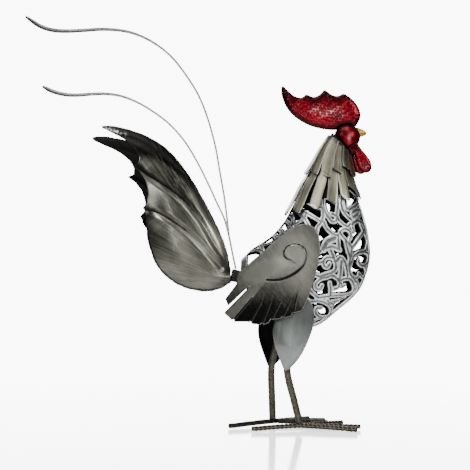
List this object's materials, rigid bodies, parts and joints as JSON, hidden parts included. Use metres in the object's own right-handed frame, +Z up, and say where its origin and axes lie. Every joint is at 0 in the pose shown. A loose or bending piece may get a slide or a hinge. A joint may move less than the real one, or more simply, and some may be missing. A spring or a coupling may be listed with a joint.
{
  "type": "rooster sculpture",
  "caption": "Standing rooster in iron and steel sheet, with an openwork scroll body, cut feather wings, cupped tail, red comb and long thin plumes.",
  "frame": {"origin": "middle of the bounding box's underside, on the ground that the toes stand on", "axes": "+X the way the rooster faces, +Y its left side, +Z up"},
  "size_m": [0.3474, 0.1252, 0.4113],
  "materials": {
    "body_casting": "rubbed silver edges over black wash",
    "hackle_steel": "brushed, warm grey",
    "red_enamel": "glossy metallic red over hammered metal",
    "beak_paint": "satin ochre gold",
    "wing_steel": "brushed, darkened towards the feather ends",
    "tail_steel": "brushed, with black wash in the grooves",
    "thigh_steel": "satin, light grey",
    "plume_steel": "dark satin",
    "leg_iron": "rough brown iron with rubbed ribs",
    "black_iron": "matt black"
  },
  "bodies": {
    "root": {"body_shell": "body_casting", "hackle_lower": "hackle_steel", "hackle_upper": "hackle_steel", "head": "red_enamel", "beak": "beak_paint", "comb": "red_enamel", "wattle_right": "red_enamel", "wattle_left": "red_enamel", "wing_right": "wing_steel", "wing_left": "wing_steel", "tail_socket": "black_iron", "tail_panel_right": "tail_steel", "tail_panel_left": "tail_steel", "plume_upper": "plume_steel", "plume_lower": "plume_steel", "leg_right": "leg_iron", "leg_left": "leg_iron", "thigh_right": "thigh_steel", "thigh_left": "thigh_steel", "toe_right_outer_and_back": "leg_iron", "toe_right_middle": "leg_iron", "toe_right_inner": "leg_iron", "toe_left_outer_and_back": "leg_iron", "toe_left_middle": "leg_iron", "toe_left_inner": "leg_iron"}
  },
  "joints": []
}
